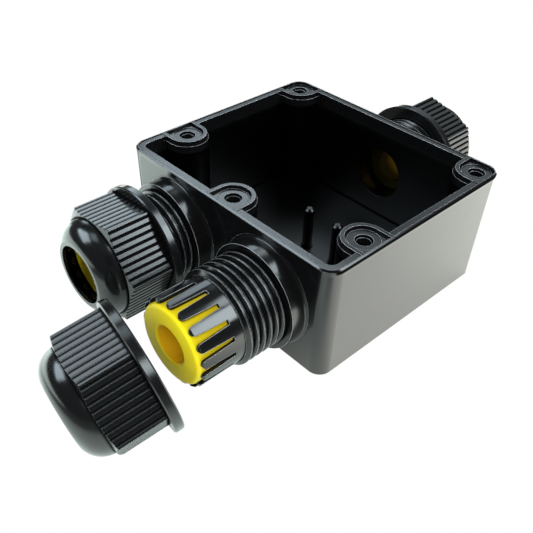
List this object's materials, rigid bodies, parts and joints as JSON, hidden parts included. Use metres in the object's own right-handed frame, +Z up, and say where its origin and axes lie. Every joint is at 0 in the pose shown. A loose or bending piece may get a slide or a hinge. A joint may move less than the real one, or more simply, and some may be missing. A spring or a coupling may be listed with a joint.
{
  "type": "waterproof junction box",
  "caption": "Open square junction box with threaded cable glands, slotted claws, rubber seals and ribbed cap nuts, and one nut taken off; a sealing rim runs round the lid screws.",
  "frame": {"origin": "middle of the underside of the box, without glands and nuts", "axes": "+Z up through the open top; X along the glands, with the pair of glands on the -X side and the single one on the +X side; +Y towards the left gland of the pair"},
  "size_m": [0.1552, 0.075, 0.0335],
  "materials": {
    "housing": "gloss",
    "nut": "gloss",
    "seal": "satin"
  },
  "bodies": {
    "housing": {"box": "housing", "seal_left": "seal", "seal_right": "seal", "seal_far": "seal", "nut_loose": "nut"},
    "left_cap": {"nut_left": "nut"},
    "far_cap": {"nut_far": "nut"}
  },
  "joints": [
    {"name": "left_nut_turn", "type": "hinge", "parent": "housing", "child": "left_cap", "pos_m": [-0.05435, 0.0172, 0.0166], "axis": [1, 0, 0], "range_deg": [-936, 1224]},
    {"name": "far_nut_turn", "type": "hinge", "parent": "housing", "child": "far_cap", "pos_m": [0.05435, 0, 0.0166], "axis": [-1, 0, 0], "range_deg": [-936, 1224]}
  ]
}
